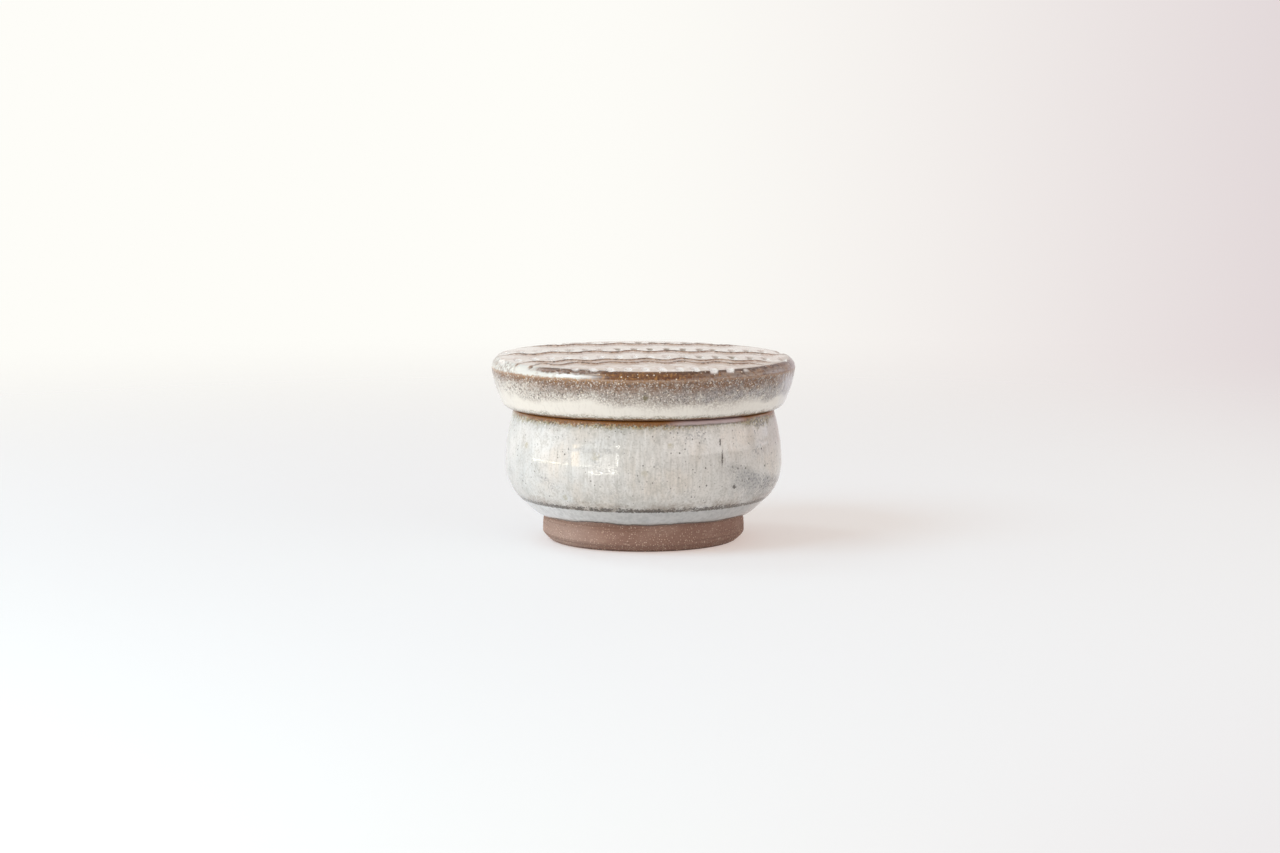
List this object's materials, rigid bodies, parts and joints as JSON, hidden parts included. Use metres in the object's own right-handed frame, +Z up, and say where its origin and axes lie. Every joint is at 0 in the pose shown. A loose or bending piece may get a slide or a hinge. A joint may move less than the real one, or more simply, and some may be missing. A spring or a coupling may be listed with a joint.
{
  "type": "salt jar",
  "caption": "Small lidded stoneware salt jar: a bellied pot on a bare turned foot, with a thick overhanging lid, pressed with strokes and waves, that lifts off its rim.",
  "frame": {"origin": "on the table, under the middle of the foot ring", "axes": "+Z up along the turning axis, out of the mouth; +X to the right and -Y to the front, along the pictured view"},
  "size_m": [0.1002, 0.1002, 0.0625],
  "materials": {
    "jar_glaze": "pale grey-white glaze over speckled brown stoneware, bare at the foot and the seat",
    "lid_glaze": "pale glaze that breaks brown on the edge and the pressed top, bare at the seat and flange"
  },
  "bodies": {
    "jar": {"jar_body": "jar_glaze"},
    "lid": {"lid": "lid_glaze"}
  },
  "joints": [
    {"name": "lid_lift", "type": "slide", "parent": "jar", "child": "lid", "axis": [0, 0, 1], "range_m": [0, 0.05]}
  ]
}
